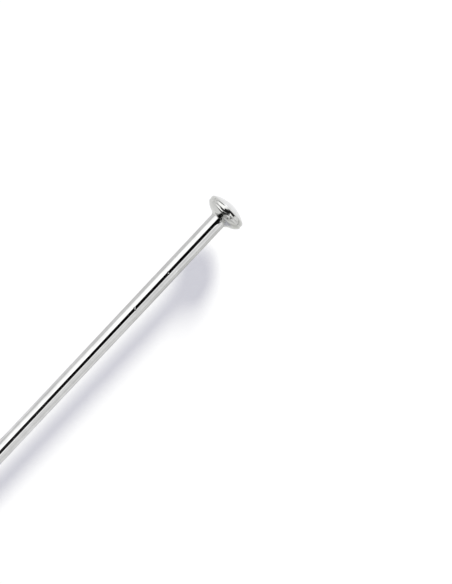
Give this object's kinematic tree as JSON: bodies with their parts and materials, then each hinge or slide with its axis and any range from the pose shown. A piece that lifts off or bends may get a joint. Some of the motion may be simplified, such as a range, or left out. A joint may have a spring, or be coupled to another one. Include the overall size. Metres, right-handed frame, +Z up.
{
  "type": "straight pin",
  "caption": "Plain metal dressmaker's pin: slender round wire with a ground tapering point and a small domed button head, pushed through cloth to hold layers together.",
  "frame": {"origin": "on the table that the pin lies on, under the middle of its length", "axes": "+X along the pin towards its head, +Z up from the table, so the wire rises towards the head by the angle at which the pin lies"},
  "size_m": [0.03, 0.0014, 0.0015],
  "materials": {
    "wire_nickel": "bright nickel plate over drawn steel wire, fine lengthwise drawing lines",
    "head_nickel": "bright nickel plate over pressed steel, slightly softer than the wire"
  },
  "bodies": {
    "root": {"shank": "wire_nickel", "head": "head_nickel"}
  },
  "joints": []
}
